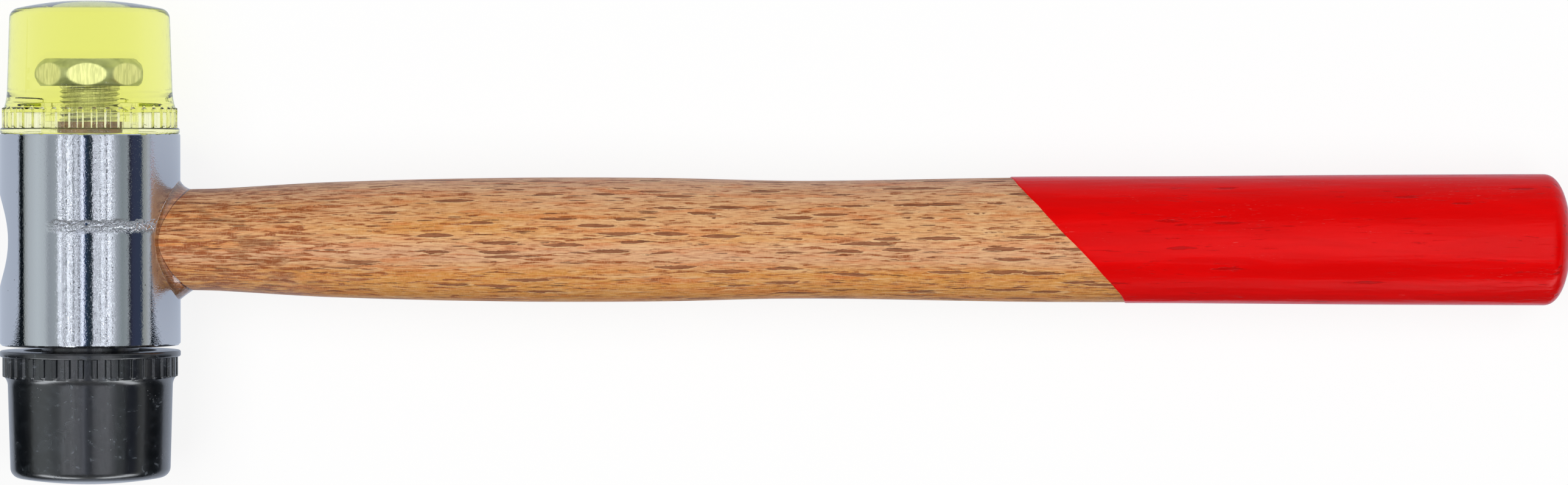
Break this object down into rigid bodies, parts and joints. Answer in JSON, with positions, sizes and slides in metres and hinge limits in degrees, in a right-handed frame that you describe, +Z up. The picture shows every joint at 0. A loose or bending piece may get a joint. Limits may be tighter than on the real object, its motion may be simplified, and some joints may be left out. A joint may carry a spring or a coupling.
{
  "type": "soft faced hammer",
  "caption": "Panel beating hammer with a plated steel head, screw-on yellow plastic and black rubber tips, and a wooden handle with a red dipped grip.",
  "frame": {"origin": "on the bench, under the middle of the hammer's box as it lies on its side", "axes": "+X along the handle to the grip's end, +Y along the head to the yellow tip, +Z up from the bench"},
  "size_m": [0.3066, 0.0936, 0.0351],
  "materials": {
    "plated_steel": "bright plated, lightly scuffed",
    "handle_wood": "oiled, dark flecks along the grain",
    "wedge_wood": "raw end grain",
    "amber_glue": "set epoxy, glossy",
    "red_coating": "dipped lacquer, grain showing",
    "yellow_plastic": "clear tinted, glossy",
    "bolt_steel": "zinc plated",
    "fibre": "pressed fibre",
    "black_rubber": "satin, fine specks"
  },
  "bodies": {
    "head": {"head_body": "plated_steel", "handle": "handle_wood", "handle_wedge": "wedge_wood", "glue_joint": "amber_glue", "grip_coating": "red_coating"},
    "yellow_washer": {"yellow_tip_washer": "fibre"},
    "yellow_tip": {"yellow_tip": "yellow_plastic", "yellow_tip_bolt": "bolt_steel"},
    "black_washer": {"black_tip_washer": "fibre"},
    "black_tip": {"black_tip": "black_rubber", "black_tip_bolt": "bolt_steel"}
  },
  "joints": [
    {"name": "yellow_tip_travel", "type": "slide", "parent": "head", "child": "yellow_washer", "axis": [0, 1, 0], "range_m": [0, 0.0068]},
    {"name": "yellow_tip_turn", "type": "hinge", "parent": "yellow_washer", "child": "yellow_tip", "pos_m": [-0.13576, 0.0005, 0.01753], "axis": [0, 1, 0], "range_deg": [0, 1958.4]},
    {"name": "black_tip_travel", "type": "slide", "parent": "head", "child": "black_washer", "axis": [0, -1, 0], "range_m": [0, 0.0068]},
    {"name": "black_tip_turn", "type": "hinge", "parent": "black_washer", "child": "black_tip", "pos_m": [-0.13576, 0.0005, 0.01753], "axis": [0, -1, 0], "range_deg": [0, 1958.4]}
  ],
  "couplings": [
    {"joint": "yellow_tip_travel", "follows": "yellow_tip_turn", "m_per_rad": 0.00019894},
    {"joint": "black_tip_travel", "follows": "black_tip_turn", "m_per_rad": 0.00019894}
  ]
}
